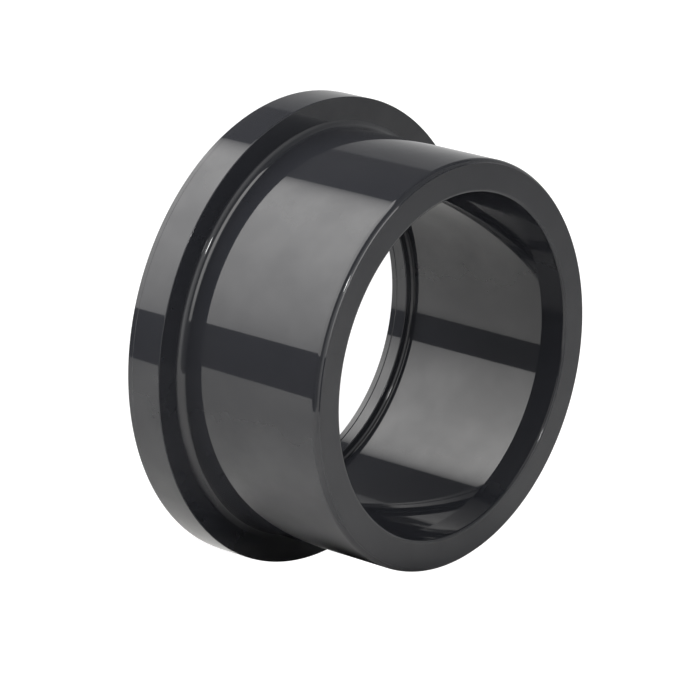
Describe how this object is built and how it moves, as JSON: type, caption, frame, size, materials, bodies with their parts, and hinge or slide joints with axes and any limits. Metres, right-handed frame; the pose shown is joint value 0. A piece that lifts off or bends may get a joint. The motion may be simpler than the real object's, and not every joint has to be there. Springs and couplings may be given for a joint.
{
  "type": "lap joint stub end",
  "caption": "Dark grey plastic stub end: a tubular hub with a pipe socket, and a thick collar with a grooved gasket face that a loose backing ring clamps.",
  "frame": {"origin": "centre of the gasket face, the collar's flat underside", "axes": "+Z along the fitting's axis, from the gasket face to the open end of the hub"},
  "size_m": [0.125, 0.125, 0.0567],
  "materials": {
    "grey_pvc": "smooth glossy moulded plastic, with a finely textured matt end face"
  },
  "bodies": {
    "root": {"stub_end": "grey_pvc"}
  },
  "joints": []
}
